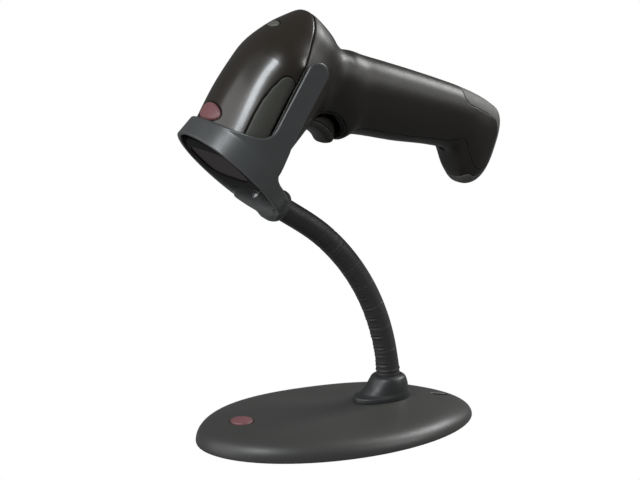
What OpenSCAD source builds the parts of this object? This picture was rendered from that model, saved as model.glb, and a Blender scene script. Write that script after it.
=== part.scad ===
// Pistol-grip barcode scanner resting nose-down in the cradle of a gooseneck desk stand.
// Millimetres. Origin: centre of the stand's underside. +X: rear of the stand, +Y: side, +Z: up.
// The beam leaves towards -X and the desk. Everything is symmetric about the plane y = 0.

/* [Stand base] */
// Length of the oval base, front to rear
base_length = 150; // [148:1:154]
// Width of the oval base
base_width = 97; // [94:1:98]
// Height of the base cover where the neck leaves it
base_height = 9.6; // [9.5:0.1:11]
// Distance of the neck from the middle of the base
neck_x = 30; // [29:0.5:31]

/* [Gooseneck] */
// Radius of the neck's bend
bend_radius = 111.4; // [110:0.2:113]
// Outer diameter of the rubber sleeve
sleeve_diameter = 11.4; // [11.2:0.1:11.6]
// Diameter of each ball in the flexible core
ball_diameter = 7.2; // [7:0.1:7.4]
// Radial running clearance of the balls in their sockets
ball_clearance = 0.05; // [0.03:0.01:0.08]

/* [Cradle] */
// Outer radius of the cradle ring
ring_radius = 30.2; // [30:0.1:30.8]
// Wall of the ring and of its two arms
ring_wall = 2; // [1.8:0.1:2.2]
// Reach of the arms along the scanner's head
arm_reach = 65; // [61:1:67]

/* [Scanner] */
// Angle of the beam below the horizontal
scanner_tilt = 45; // [45:1:46]
// Half the width of the head at the nose
nose_half_width = 27.4; // [27:0.1:27.6]
// Wall of the moulded shells
shell_wall = 2; // [1.8:0.1:2.2]
// Angle between the handle and the normal of the beam
handle_lean = 24.5; // [24:0.5:25]

/* [Hidden] */

gap = 0.1;          // fitted gap between moulded pieces that do not move
eps = 0.01;
loft_points = 36;   // points round every lofted section

// ---- smooth interpolation through rows of driving dimensions ----
// Each row starts with its place along the loft; the other columns are sizes there.
function span_at(rows, s, i = 0) =
    (i >= len(rows) - 2 || s < rows[i + 1][0]) ? i : span_at(rows, s, i + 1);
function slope_at(rows, i, column) =
    let (a = max(i - 1, 0), b = min(i + 1, len(rows) - 1))
    (rows[b][column] - rows[a][column]) / (rows[b][0] - rows[a][0]);
function size_at(rows, s, column) =
    let (i = span_at(rows, s),
         h = rows[i + 1][0] - rows[i][0],
         u = (s - rows[i][0]) / h,
         p = rows[i][column], q = rows[i + 1][column],
         mp = slope_at(rows, i, column) * h, mq = slope_at(rows, i + 1, column) * h)
    (2 * pow(u, 3) - 3 * pow(u, 2) + 1) * p + (pow(u, 3) - 2 * pow(u, 2) + u) * mp
    + (3 * pow(u, 2) - 2 * pow(u, 3)) * q + (pow(u, 3) - pow(u, 2)) * mq;

// Signed power: keeps a superellipse symmetric in all four quadrants
function spow(v, p) = sign(v) * pow(abs(v), p);
function smooth(a, b, v) = let (t = min(max((v - a) / (b - a), 0), 1)) t * t * (3 - 2 * t);

// Joins closed sections of equal point count into one solid with flat convex ends
module loft(sections) {
    n = len(sections[0]);
    m = len(sections);
    points = [for (section = sections) each section];
    sides = [for (i = [0:m - 2], j = [0:n - 1])
             let (k = (j + 1) % n, a = i * n + j, b = i * n + k, c = a + n, d = b + n)
             each [[a, d, b], [a, c, d]]];
    polyhedron(points = points,
               faces = concat(sides, [[for (j = [0:n - 1]) j]],
                              [[for (j = [n - 1:-1:0]) (m - 1) * n + j]]));
}

// ================= Stand base =================
base_a = base_length / 2;
base_b = base_width / 2;
pad_thickness = 1.2;
ballast_top = 4.9;
ballast_a = base_a - 20;
ballast_b = base_b - 8;
screw_angles = [60, 180, 300];
screw_seat = 3.2;        // height of the recesses in the ballast's underside
nut_seat = 3.6;
screw_orbit = 0.72;     // place of the base screws, as a share of the ballast's half axes
// Rim profile of the cover: share of the plan size, share of the height
rim_profile = [[1, 0.06], [0.988, 0.22], [0.955, 0.52], [0.92, 0.75], [0.87, 0.88], [0.78, 0.95],
               [0.5, 0.99], [0.2, 1]];

function oval(a, b, n = 72) = [for (i = [0:n - 1]) [a * cos(360 * i / n), b * sin(360 * i / n)]];
// The cover rises gently in front of the neck and falls behind it
function cover_top(x) = base_height + 3 * smooth(neck_x - 14, -base_a, x)
                        - 2.4 * smooth(neck_x + 8, base_a, x);

function base_section(share, height, inset) =
    [for (p = oval(base_a * share - inset, base_b * share - inset, 60))
     [p[0], p[1], height * (cover_top(p[0]) - inset)]];

module base_solid(inset, drop = 0) {
    translate([0, 0, -drop])
    loft([for (p = rim_profile) base_section(p[0], p[1], inset)]);
}

module at_base_screws() {
    for (a = screw_angles)
        translate([screw_orbit * ballast_a * cos(a), screw_orbit * ballast_b * sin(a), 0])
            children();
}

badge_x = -53.4;
slot_x = 61.6;

module base_cover() {
    cover_wall = 2.2;
    color("#383a39")
    resize([0, 0, 0])
    difference() {
        union() {
            difference() {
                base_solid(0);
                base_solid(cover_wall, 0.6);
            }
            intersection() {
                at_base_screws() translate([0, 0, ballast_top + gap]) cylinder(r = 3.4, h = 8, $fn = 24);
                base_solid(cover_wall / 2);
            }
        }
        at_base_screws() cylinder(r = 1.45, h = 9.5, $fn = 24);
        translate([neck_x, 0, 0]) cylinder(r = 4.5, h = 30, $fn = 32);
        translate([slot_x - 4, -1.2, 4]) cube([8, 2.4, 10]);
        translate([badge_x, 0, cover_top(badge_x) - 1.1]) linear_extrude(5) polygon(oval(5.6, 4.1, 32));
    }
}

module base_ballast() {
    color("#8a8d8f")
    difference() {
        translate([0, 0, pad_thickness])
            linear_extrude(ballast_top - pad_thickness) polygon(oval(ballast_a, ballast_b));
        at_base_screws() translate([0, 0, -1]) cylinder(r = 1.8, h = 10, $fn = 32);
        at_base_screws() translate([0, 0, -1]) cylinder(r = 3.2, h = screw_seat + 1, $fn = 32);
        translate([neck_x, 0, -1]) cylinder(r = 4.2, h = 10, $fn = 48);
        translate([neck_x, 0, -1]) cylinder(r = 8.4, h = nut_seat + 1, $fn = 48);
    }
}

module base_pad() {
    color("#1b1b1b") linear_extrude(pad_thickness) polygon(oval(ballast_a, ballast_b));
}

module base_screws() {
    color("#9a9a9a")
    at_base_screws() {
        translate([0, 0, screw_seat - 1.8]) cylinder(r = 2.8, h = 1.8, $fn = 32);
        translate([0, 0, screw_seat - eps]) cylinder(r = 1.4, h = 5.2, $fn = 32);
    }
}

module base_badge() {
    color("#8d4a50")
    translate([badge_x, 0, cover_top(badge_x) - 1])
        linear_extrude(1.3) polygon(oval(5.5, 4, 32));
}

// ================= Gooseneck =================
// The neck's centre line is an arc in the plane y = 0. Eight ball joints sit along it, so
// nine links stand for the coiled core. Odd joints nod, even joints sway.
arc_x = neck_x - bend_radius;
arc_z = 15;
first_joint = 8.25;
joint_step = 6.5;
joint_count = 8;
sleeve_r = sleeve_diameter / 2;
sleeve_wall = 1;
ball_r = ball_diameter / 2;
socket_r = ball_r + ball_clearance;
cup_r = ball_r + 1;
cup_mouth = 1.2;        // height of the cup's mouth above the ball's centre
sleeve_gap = 2;         // free space between two sleeves at each joint
mouth_local = [10, -33.7];      // mouth of the cradle's socket, in the scanner's frame
nose = [-61, 0, 131];           // middle of the cradle ring's front edge

function arc_point(angle) = [arc_x + bend_radius * cos(angle), 0, arc_z + bend_radius * sin(angle)];
function joint_angle(k) = first_joint + (k - 1) * joint_step;
function to_world(p) = [nose[0] + p[0] * cos(scanner_tilt) - p[1] * sin(scanner_tilt), 0,
                        nose[2] + p[0] * sin(scanner_tilt) + p[1] * cos(scanner_tilt)];
socket_mouth = to_world(mouth_local);
// Both ends of link k: the foot, the eight joints, and the mouth of the cradle's socket
function link_end(k) = k == 0 ? arc_point(0) : k > joint_count ? socket_mouth : arc_point(joint_angle(k));
function link_length(k) = norm(link_end(k + 1) - link_end(k));
function link_turn(k) = let (d = link_end(k + 1) - link_end(k)) atan2(d[0], d[2]);

module at_link(k) {
    translate(link_end(k)) rotate([0, link_turn(k), 0]) children();
}

module link_cup(length) {
    difference() {
        union() {
            translate([0, 0, length]) sphere(r = cup_r, $fn = 48);
            translate([0, 0, length / 2]) cylinder(r = sleeve_r - sleeve_wall + 0.02, h = 1.6, $fn = 48);
            cylinder(r = 1.7, h = length - 4, $fn = 32);
        }
        translate([0, 0, length]) sphere(r = socket_r, $fn = 48);
        translate([0, 0, length + cup_mouth]) cylinder(r = 6, h = 8, $fn = 48);
    }
}

module neck_core(k) {
    color("#6e7073")
    if (k == 0) {
        stud_r = 4;
        translate([neck_x, 0, nut_seat - nut_height]) cylinder(r = stud_r, h = arc_z - 1.5, $fn = 48);
        translate([neck_x, 0, ballast_top + 0.02]) cylinder(r = 7.2, h = 1.6, $fn = 48);
        at_link(0) {
            sphere(r = stud_r, $fn = 48);
            link_cup(link_length(0));
            cylinder(r = 3, h = link_length(0) - 5, $fn = 48);
        }
    } else if (k < joint_count) {
        at_link(k) {
            sphere(r = ball_r, $fn = 48);
            link_cup(link_length(k));
        }
    } else {
        at_link(k) difference() {
            union() {
                sphere(r = ball_r, $fn = 48);
                cylinder(r = 1.9, h = 10, $fn = 48);
                translate([0, 0, 7]) cylinder(r = ferrule_r, h = link_length(k) + ferrule_depth - 7, $fn = 48);
                translate([0, 0, 7]) cylinder(r = sleeve_r - sleeve_wall + 0.02, h = 2, $fn = 48);
            }
            translate([0, 0, link_length(k) + 2]) cylinder(r = 1.55, h = ferrule_depth, $fn = 32);
        }
    }
}

module neck_sleeve(k) {
    foot = k == 0 ? 6 : sleeve_gap / 2;
    top = k == joint_count ? link_length(k) + 2.4 : link_length(k) - sleeve_gap / 2;
    color("#333333")
    at_link(k) difference() {
        translate([0, 0, foot]) cylinder(r = sleeve_r, h = top - foot, $fn = 48);
        translate([0, 0, foot - 1]) cylinder(r = sleeve_r - sleeve_wall, h = top - foot + 2, $fn = 48);
    }
}

nut_height = 2.1;
module neck_nut() {
    color("#9a9a9a")
    translate([neck_x, 0, nut_seat - nut_height]) difference() {
        cylinder(r = 7.4, h = nut_height, $fn = 6);
        translate([0, 0, -1]) cylinder(r = 4.06, h = 6, $fn = 48);
    }
}

module neck_boot() {
    boot_top = 24;
    foot_centre = neck_x - 1.4;
    color("#363838")
    difference() {
        hull() {
            translate([foot_centre, 0, base_height - 2]) cylinder(r = 15, h = 2.6, $fn = 32);
            translate([foot_centre + 0.6, 0, base_height + 3]) cylinder(r = 13.6, h = 1, $fn = 32);
            translate([neck_x - 0.4, 0, boot_top - 1]) cylinder(r = 7.2, h = 1, $fn = 32);
        }
        base_solid(-0.02);
        translate([neck_x, 0, 0]) cylinder(r = 4.5, h = 17, $fn = 48);
        at_link(0) translate([0, 0, -4]) cylinder(r = sleeve_r + 0.15, h = 30, $fn = 48);
    }
}

// ================= Cradle =================
// Scanner frame: x from the nose to the back of the head, against the beam; z up the head.
module in_scanner() {
    translate(nose) rotate([0, -scanner_tilt, 0]) children();
}

ring_centre = 0.3;     // height of the ring's axis in the scanner's frame
ring_depth = 11;
ring_lip = 2;
lip_depth = 2.4;
ferrule_r = 4.25;
ferrule_depth = 12;     // how far the ferrule enters the socket
boss_r = 5.6;

// Frame on the socket's axis: z runs from the socket's mouth into the cradle
module in_socket() {
    translate(socket_mouth) rotate([0, link_turn(joint_count), 0]) children();
}

// Side outline of one arm, from the ring to its round tip
arm_slope = 13.2;
arm_half = 5.5;
module arm_outline() {
    tip = [arm_reach - arm_half, 11.4];
    root = [14, tip[1] - tan(arm_slope) * (tip[0] - 14)];
    hull() {
        translate(tip) circle(r = arm_half, $fn = 48);
        translate(root) circle(r = arm_half, $fn = 48);
    }
}

// Side outline of the ring: its rear edge runs out into the arms
module ring_outline() {
    polygon([[0, -40], [0, 40], [ring_depth + 1.7, 40], [ring_depth + 2, 30],
             [ring_depth + 4, 23], [ring_depth + 6.9, 16.2], [ring_depth + 8.5, 13.1],
             [ring_depth + 10.7, 10], [ring_depth + 13, 8.6], [ring_depth + 13, 0],
             [ring_depth, -5], [ring_depth, -40]]);
}

// Pushes a side outline through the whole width
module through(half, shift = 0) {
    translate([0, half + shift, 0]) rotate([90, 0, 0]) linear_extrude(2 * half) children();
}

module ring_barrel(radius, from, depth) {
    translate([from, 0, ring_centre]) rotate([0, 90, 0]) cylinder(r = radius, h = depth, $fn = 96);
}

module cradle() {
    color("#444648")
    difference() {
        union() {
            in_scanner() difference() {
                union() {
                    intersection() {
                        ring_barrel(ring_radius, 0, 30);
                        through(40) ring_outline();
                    }
                    for (side = [-1, 1])
                        through(ring_wall / 2, side * (ring_radius - ring_wall / 2)) arm_outline();
                }
                ring_barrel(ring_radius - ring_wall, lip_depth, 80);
                ring_barrel(ring_radius - ring_wall - ring_lip, -1, 10);
                loft([for (x = [nose_front - 0.4:3:27]) head_section(x, -0.2)]);
            }
            in_socket() difference() {
                cylinder(r1 = 6.6, r2 = 7.2, h = 8, $fn = 64);
                translate([0, 0, -1]) cylinder(r = ferrule_r, h = 12, $fn = 48);
            }
            in_socket() cylinder(r = boss_r, h = ferrule_depth + 4, $fn = 48);
        }
        in_socket() {
            translate([0, 0, -1]) cylinder(r = ferrule_r + 0.04, h = ferrule_depth + 1.2, $fn = 48);
            translate([0, 0, -1]) cylinder(r = sleeve_r + 0.08, h = 3.6, $fn = 48);
            cylinder(r = 1.7, h = 20, $fn = 32);
        }
    }
}

module cradle_screw() {
    color("#9a9a9a")
    in_socket() {
        translate([0, 0, 5]) cylinder(r = 1.5, h = ferrule_depth - 0.96, $fn = 32);
        translate([0, 0, ferrule_depth + 4.02]) cylinder(r = 3, h = 1.8, $fn = 32);
    }
}

// ================= Scanner body =================
// Head: place x, top z, bottom z, half width
head_rows = [[3.3, 25, -9.5, nose_half_width],
             [12, 27.4, -10, nose_half_width + 0.4],
             [30, 32, -11, nose_half_width],
             [46, 34.4, -11.5, 26],
             [58, 34.6, -10.6, 25.5],
             [70, 32.2, -8.4, 20.3],
             [78, 29, -5.4, 16.3],
             [83.4, 26.3, 1, 10.4],
             [85.8, 23.8, 8, 5.6]];
head_end = 85.8;
nose_front = 3.3;
shell_front = 6;        // the two-part housing starts here, behind the nose bezel
seam_slope = 0.22;
function seam_z(x) = 3.4 + seam_slope * x;  // lower edge of the head cover

// Section of the head: widest at the seam, rounder above than below
function head_section(x, inset) =
    let (w = size_at(head_rows, x, 3) - inset,
         top = size_at(head_rows, x, 1) - inset,
         bottom = size_at(head_rows, x, 2) + inset,
         waist = bottom + (top - bottom) * min(0.24 + 0.0065 * x, 0.58))
    [for (i = [0:loft_points - 1])
     let (a = 360 * i / loft_points, c = cos(a), s = sin(a), e = s > 0 ? 2 / 2.05 : 2 / 2.5)
     [x, w * spow(c, e), waist + (s > 0 ? top - waist : waist - bottom) * spow(s, e)]];

module head_loft(inset, from = shell_front) {
    steps = 14;
    to = head_end - inset;
    loft([for (i = [0:steps]) head_section(from + (to - from) * sin(90 * i / steps), inset)]);
}

// Handle frame: x towards the trigger side, z down the handle from the head.
handle_root = [69, 0, -7];
module in_handle() {
    in_scanner() translate(handle_root) rotate([0, 180 - handle_lean, 0]) children();
}
// Place down the handle, back, front, half width
handle_rows = [[-8, 13, 18, 16.5],
               [6, 17.2, 20, 17.2],
               [13.5, 17.5, 25.5, 17.1],
               [19, 17.8, 21.4, 16.9],
               [26, 18.3, 19.6, 16.8],
               [45, 19.4, 16.8, 16.2],
               [68, 20.2, 12.5, 15.6],
               [78, 20.0, 12.6, 15.4],
               [86, 19.4, 21.4, 15.2],
               [92.5, 18.3, 25.4, 14.6],
               [99, 16, 22, 12.4],
               [103, 10, 13, 8]];
handle_end = 103;
function handle_section(t, inset, power) =
    let (back = size_at(handle_rows, t, 1) - inset,
         front = size_at(handle_rows, t, 2) - inset,
         w = size_at(handle_rows, t, 3) - min(inset, 2.2),
         mid = (front - back) / 2, half = (front + back) / 2)
    [for (i = [0:loft_points - 1])
     let (a = 360 * i / loft_points)
     [mid + half * spow(cos(a), 2 / power), w * spow(sin(a), 2 / power), t]];

// The cap wraps the end of the handle like a strap; the housing fills a tongue inside it
cap_start = 70;
strap = 5;
tongue_end = handle_end - strap;
function strap_inset(t) = strap * smooth(cap_start, cap_start + 12, t);

module handle_loft(inset, follow_strap = 0, from = -8) {
    steps = 20;
    to = handle_end - (follow_strap > 0 ? strap : 0) - inset;
    loft([for (i = [0:steps]) let (t = from + (to - from) * i / steps)
          handle_section(t, inset + follow_strap * strap_inset(t), 2.6)]);
}

// Side outline of the housing's tongue, extruded through the handle
module tongue(clear) {
    steps = 10;
    ts = [for (i = [0:steps]) 60 + (tongue_end + clear - 60) * i / steps];
    function edge(t, column) = size_at(handle_rows, t, column) - strap_inset(t) + clear
                               + (t < cap_start ? 4 : 0);
    rotate([90, 0, 0]) translate([0, 0, -30]) linear_extrude(60)
        polygon(concat([for (t = ts) [edge(t, 2), t]],
                       [for (i = [steps:-1:0]) [-edge(ts[i], 1), ts[i]]]));
}

// Trigger pocket and pivot, in the handle's frame
pivot = [18, -9];
trigger_centre = [25.2, 2.5];
trigger_r = 8.4;
trigger_half = 9.3;
pocket_r = trigger_r + 1.5;
pocket_back = trigger_centre[0] - pocket_r - 4;

module trigger_pocket() {
    in_handle() {
        translate([trigger_centre[0], 30, trigger_centre[1]]) rotate([90, 0, 0])
            cylinder(r = pocket_r, h = 60, $fn = 48);
        translate([pivot[0] - 5, -6, -8]) cube([14, 12, 10]);
    }
}

module body_outer() {
    head_loft(0);
    translate(handle_root) rotate([0, 180 - handle_lean, 0]) intersection() {
        handle_loft(0);
        union() {
            tongue(0);
            translate([-40, -40, -20]) cube([80, 80, 80]);
        }
    }
}

module body_inner() {
    head_loft(shell_wall, shell_front - 1);
    translate(handle_root) rotate([0, 180 - handle_lean, 0])
        handle_loft(shell_wall, 1, -10);
}

// Region of the front shell, seen from the side: chin, trigger edge and front of the handle
chin_split = -4;
module front_region(clear) {
    front_strip = 4;
    c = cos(handle_lean);
    s = sin(handle_lean);
    function on_handle(t, x) = [handle_root[0] - x * c + t * s, handle_root[2] - x * s - t * c];
    function strip(t) = on_handle(t, size_at(handle_rows, t, 2) - strap_inset(t) - front_strip - clear);
    rotate([90, 0, 0]) translate([0, 0, -50]) linear_extrude(100)
        polygon(concat([[0, -40], [0, chin_split + clear], [46, chin_split + clear]],
                       [for (t = [2:6:14]) on_handle(t, pocket_back - clear)],
                       [for (t = [24:7:66]) strip(t)],
                       [for (t = [72:6:84]) strip(t)],
                       [on_handle(90, 60), on_handle(20, 60)]));
}

module housing_shell() {
    resize([0, 0, 0])
    difference() {
        body_outer();
        body_inner();
    }
}

// Half space above the seam between head cover and lower housing
module above_seam(lift) {
    translate([0, -60, 3.4 + lift]) rotate([0, -atan(seam_slope), 0]) translate([-40, 0, 0]) cube([160, 120, 60]);
}

// Leaf-shaped inlay on the side of the head cover
module leaf(grow) {
    rotate([90, 0, 0]) translate([0, 0, -40]) linear_extrude(80) hull() {
        translate([19, 12.7]) circle(r = 4.9 + grow, $fn = 32);
        translate([38, 17]) circle(r = 4.4 + grow, $fn = 32);
        translate([47.2, 17.6]) circle(r = 3.7 + grow, $fn = 32);
    }
}

// Ovals on the crown of the head cover: place, half length, half width
badge_oval = [18, 4.6, 9.5];
light_oval = [69.3, 2.3, 5];
module crown_oval(shape, grow) {
    translate([shape[0], 0, 15]) linear_extrude(40)
        polygon(oval(shape[1] + grow, shape[2] + grow, 32));
}

pad_recess = 0.9;

module head_cover() {
    color("#2a2623")
    in_scanner() resize([0, 0, 0]) difference() {
        intersection() {
            head_loft(0);
            above_seam(gap / 2);
        }
        head_loft(shell_wall, shell_front - 1);
        difference() {
            union() {
                leaf(gap);
                crown_oval(badge_oval, gap);
                crown_oval(light_oval, gap);
            }
            head_loft(pad_recess);
        }
    }
}

// Keeps the part of an inlay that fills a recess of the head cover
module inlay() {
    in_scanner() resize([0, 0, 0]) intersection() {
        children();
        above_seam(0.5);
        difference() {
            head_loft(-0.1);
            head_loft(pad_recess - 0.05);
        }
    }
}

module side_pad(side) {
    color("#41423e") inlay() intersection() {
        leaf(0);
        translate([0, side > 0 ? 0 : -60, 0]) cube([80, 60, 60]);
    }
}
module side_pad_left() { side_pad(-1); }
module side_pad_right() { side_pad(1); }

module screw_axis(t) {
    in_handle() translate([0, 0, t]) rotate([0, 90, 0]) children();
}
screw_places = [40, 76];

module rear_shell() {
    color("#2b2a27")
    resize([0, 0, 0]) difference() {
        union() {
            in_scanner() difference() {
                housing_shell();
                above_seam(-gap / 2);
                front_region(gap / 2);
            }
            intersection() {
                for (t = screw_places)
                    screw_axis(t) translate([0, 0, -20]) cylinder(r = 3, h = 20.6, $fn = 24);
                in_handle() handle_loft(shell_wall / 2, 1);
            }
        }
        for (t = screw_places) screw_axis(t) translate([0, 0, -6]) cylinder(r = 1.2, h = 30, $fn = 24);
        trigger_pocket();
        jack_window(0.3);
    }
}

module front_shell() {
    color("#33332f")
    resize([0, 0, 0]) difference() {
        union() {
            in_scanner() difference() {
                intersection() {
                    housing_shell();
                    front_region(-gap / 2);
                }
                above_seam(-gap / 2);
            }
            intersection() {
                for (t = screw_places)
                    screw_axis(t) translate([0, 0, 4]) cylinder(r = 3.4, h = 30, $fn = 24);
                in_handle() handle_loft(shell_wall / 2, 1);
            }
        }
        for (t = screw_places) {
            screw_axis(t) cylinder(r = 1.4, h = 40, $fn = 24);
            screw_axis(t) translate([0, 0, screw_head(t)]) cylinder(r = 2.6, h = 40, $fn = 24);
        }
        trigger_pocket();
        jack_window(0.3);
    }
}

// Head height of the housing screw at t, in the screw's own axis
function screw_head(t) = size_at(handle_rows, t, 2) - strap_inset(t) - 4;

module housing_screws() {
    color("#9a9a9a")
    for (t = screw_places) {
        screw_axis(t) translate([0, 0, screw_head(t) + 0.05]) cylinder(r = 2.3, h = 1.6, $fn = 32);
        screw_axis(t) translate([0, 0, -5]) cylinder(r = 1.1, h = screw_head(t) + 5.1, $fn = 32);
    }
}

// Opening for the cable plug through the end wall and the cap
jack_x = 9.6;
module jack_window(clear) {
    in_handle() translate([jack_x - 6 - clear, -7 - clear, 84])
        cube([12 + 2 * clear, 14 + 2 * clear, 12 + clear]);
}

module end_cap() {
    color("#4b4b49")
    in_handle() resize([0, 0, 0]) difference() {
        handle_loft(0, 0, cap_start + 1);
        tongue(0.15);
        translate([jack_x - 4.8, -5, 80]) cube([9.6, 10, 40]);
    }
}

module nose_bezel() {
    color("#1c1c1c")
    in_scanner() resize([0, 0, 0]) difference() {
        loft([for (x = [nose_front, shell_front - gap]) head_section(x, x == nose_front ? 0.5 : 0)]);
        window_block(0.05, 0);
    }
}

module window_block(clear, from) {
    window_half = 21;
    window_height = 20;
    translate([from, 0, 7]) rotate([90, 0, 90]) linear_extrude(20)
        polygon([for (i = [0:59]) let (a = 6 * i)
                 [(window_half + clear) * spow(cos(a), 2 / 4),
                  (window_height / 2 + clear) * spow(sin(a), 2 / 4)]]);
}

module scan_window() {
    color("#3a1416")
    in_scanner() intersection() {
        window_block(0, nose_front + 0.5);
        translate([nose_front + 0.5, -40, -20]) cube([2, 80, 60]);
    }
}

module scanner_badge() {
    color("#8d4a50") inlay() crown_oval(badge_oval, 0);
}

module status_light() {
    color("#c9c9c2") inlay() crown_oval(light_oval, 0);
}

// ================= Trigger =================
module across(x, t, r, half) {
    translate([x, half, t]) rotate([90, 0, 0]) cylinder(r = r, h = 2 * half, $fn = 64);
}

module trigger() {
    neck_half = 5;
    pin_bore = 1.55;
    finger_r = 13.5;            // the finger surface is a hollow arc
    finger_centre = [37.8, -1.5];
    color("#41403c")
    in_handle() difference() {
        union() {
            difference() {
                intersection() {
                    across(trigger_centre[0], trigger_centre[1], trigger_r, trigger_half);
                    across(24.5, 0.2, 9.7, trigger_half + 1);
                }
                across(finger_centre[0], finger_centre[1], finger_r, trigger_half + 1);
            }
            across(pivot[0], pivot[1], 2.6, neck_half);
            translate([pivot[0] - 2, -neck_half, pivot[1]]) cube([4, 2 * neck_half, 10.4]);
        }
        across(pivot[0], pivot[1], pin_bore, 20);
    }
}

module trigger_pin() {
    color("#b5b5b5") in_handle() across(pivot[0], pivot[1], 1.5, 7.4);
}

// Compression spring between the trigger's back and the main board
spring_t = -1;
module trigger_spring() {
    wire = 0.3;
    coil_r = 1.8;
    turns = 6;
    start = board_front + 0.05;
    length = 12.3;
    color("#c0c0c0")
    in_handle() translate([start + wire, 0, spring_t])
        for (i = [0:turns - 1])
            translate([i * (length - 2 * wire) / (turns - 1), 0, 0]) rotate([0, 90, 0])
                rotate_extrude($fn = 32) translate([coil_r, 0]) circle(r = wire, $fn = 16);
}

board_front = 3.6;
board_back = 2;
switch_t = 5;

module switch_body() {
    color("#202020")
    in_handle() difference() {
        translate([board_front, -3.5, switch_t - 2.6]) cube([5.4, 7, 6.4]);
        translate([board_front + 1, 0, switch_t]) rotate([0, 90, 0]) cylinder(r = 1.55, h = 10, $fn = 48);
    }
}

module switch_plunger() {
    tip = 16.6;
    color("#7a3a30")
    in_handle() translate([board_front + 3, 0, switch_t]) rotate([0, 90, 0])
        cylinder(r = 1.5, h = tip - board_front - 3, $fn = 48);
}

// ================= Inside the handle =================
module main_board() {
    color("#2f6b45")
    in_handle() difference() {
        translate([board_back, -10, -4]) cube([board_front - board_back, 20, 92]);
        for (t = screw_places) translate([-1, 0, t]) rotate([0, 90, 0]) cylinder(r = 1.5, h = 8, $fn = 32);
    }
}

module cable_jack() {
    color("#151515")
    in_handle() difference() {
        translate([board_front, -6.9, 84.6]) cube([10.8, 13.8, 10.8]);
        translate([jack_x - 4, -4.6, 86]) cube([8, 9.2, 20]);
    }
}

module beeper() {
    color("#181818")
    in_handle() translate([board_front, 0, 27]) rotate([0, 90, 0]) difference() {
        cylinder(r = 6, h = 5, $fn = 48);
        translate([0, 0, 4]) cylinder(r = 1, h = 3, $fn = 24);
    }
}

// ================= Laser engine in the head =================
deck_z = -4;
deck_end = 44;
mirror_x = 32;

module engine_chassis() {
    color("#55585c")
    in_scanner() difference() {
        union() {
            translate([9, -15, deck_z - 1.5]) cube([deck_end - 9, 30, 1.5]);
            translate([15, -15, deck_z - eps]) cube([8, 9, 8]);
            translate([mirror_x, 0, deck_z - eps]) cylinder(r = 2.6, h = 2.5, $fn = 32);
            for (side = [-1, 1])
                translate([36, side * 6.5 - 0.9, deck_z - 4.6]) cube([15.5, 1.8, 4.6]);
        }
        translate([10, -10.5, 0]) rotate([0, 90, 0]) cylinder(r = 3.22, h = 20, $fn = 48);
        translate([mirror_x, 0, deck_z]) cylinder(r = 1.04, h = 10, $fn = 32);
        in_pivot() rotate([90, 0, 0]) translate([0, 0, -20]) cylinder(r = 1.5, h = 40, $fn = 48);
    }
}

// Trigger pivot, placed from the handle's frame
module in_pivot() {
    translate([handle_root[0] - pivot[0] * cos(handle_lean) + pivot[1] * sin(handle_lean), 0,
               handle_root[2] - pivot[0] * sin(handle_lean) - pivot[1] * cos(handle_lean)])
        children();
}

module engine_board() {
    color("#2f6b45")
    in_scanner() translate([deck_end - 3, -14, deck_z]) cube([1.6, 28, 22]);
}

module laser_module() {
    color("#b08d3c")
    in_scanner() difference() {
        translate([11, -10.5, 0]) rotate([0, 90, 0]) cylinder(r = 3.2, h = 14, $fn = 48);
        translate([23.5, -10.5, 0]) rotate([0, 90, 0]) cylinder(r = 2.5, h = 3, $fn = 48);
    }
}

module focus_lens() {
    color("#b9d4e8")
    in_scanner() translate([23.5, -10.5, 0]) rotate([0, 90, 0]) cylinder(r = 2.48, h = 1.4, $fn = 48);
}

module scan_mirror() {
    color("#d9dde0")
    in_scanner() {
        translate([mirror_x, 0, deck_z + 0.1]) cylinder(r = 1, h = 4, $fn = 32);
        translate([mirror_x - 0.9, -7, deck_z + 4]) cube([1.8, 14, 10]);
    }
}

module mirror_coil() {
    color("#9c5a2c")
    in_scanner() translate([deck_end - 7, 0, deck_z + 9]) rotate([0, 90, 0]) difference() {
        cylinder(r = 4.4, h = 4, $fn = 48);
        translate([0, 0, -1]) cylinder(r = 1.6, h = 6, $fn = 32);
    }
}

module photodetector() {
    color("#1e1e24")
    in_scanner() translate([14, 5, deck_z]) cube([3, 7, 9]);
}

// Wires from the engine board to the main board
module wire_harness() {
    color("#a02020")
    in_scanner() translate([deck_end - 1.4, 4, deck_z + 10]) rotate([0, 90, 0])
        cylinder(r = 1.3, h = 14, $fn = 32);
}

base_cover();
base_ballast();
base_pad();
base_screws();
base_badge();
neck_boot();
neck_nut();
for (k = [0:joint_count]) {
    neck_core(k);
    neck_sleeve(k);
}
cradle();
cradle_screw();
head_cover();
rear_shell();
front_shell();
end_cap();
side_pad_left();
side_pad_right();
nose_bezel();
scan_window();
scanner_badge();
status_light();
trigger();
trigger_pin();
trigger_spring();
switch_body();
switch_plunger();
main_board();
cable_jack();
beeper();
housing_screws();
engine_chassis();
engine_board();
laser_module();
focus_lens();
scan_mirror();
mirror_coil();
photodetector();
wire_harness();
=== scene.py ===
"""Looks of a pistol-grip barcode scanner lying nose-down in the ring cradle of a gooseneck stand.

Shapes are worked out in millimetres in three local frames and turned into meshes in metres:
the stand frame (the row's own axes), the scanner frame (x from the nose to the back of the
head, z up the head) and the handle frame (x towards the trigger side, z down the handle).
Every moulded piece is a distance field on a grid, negative inside, meshed where it is zero.
"""
import math

import bpy
import numpy as np
import openvdb
from mathutils import Matrix, Vector


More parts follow.
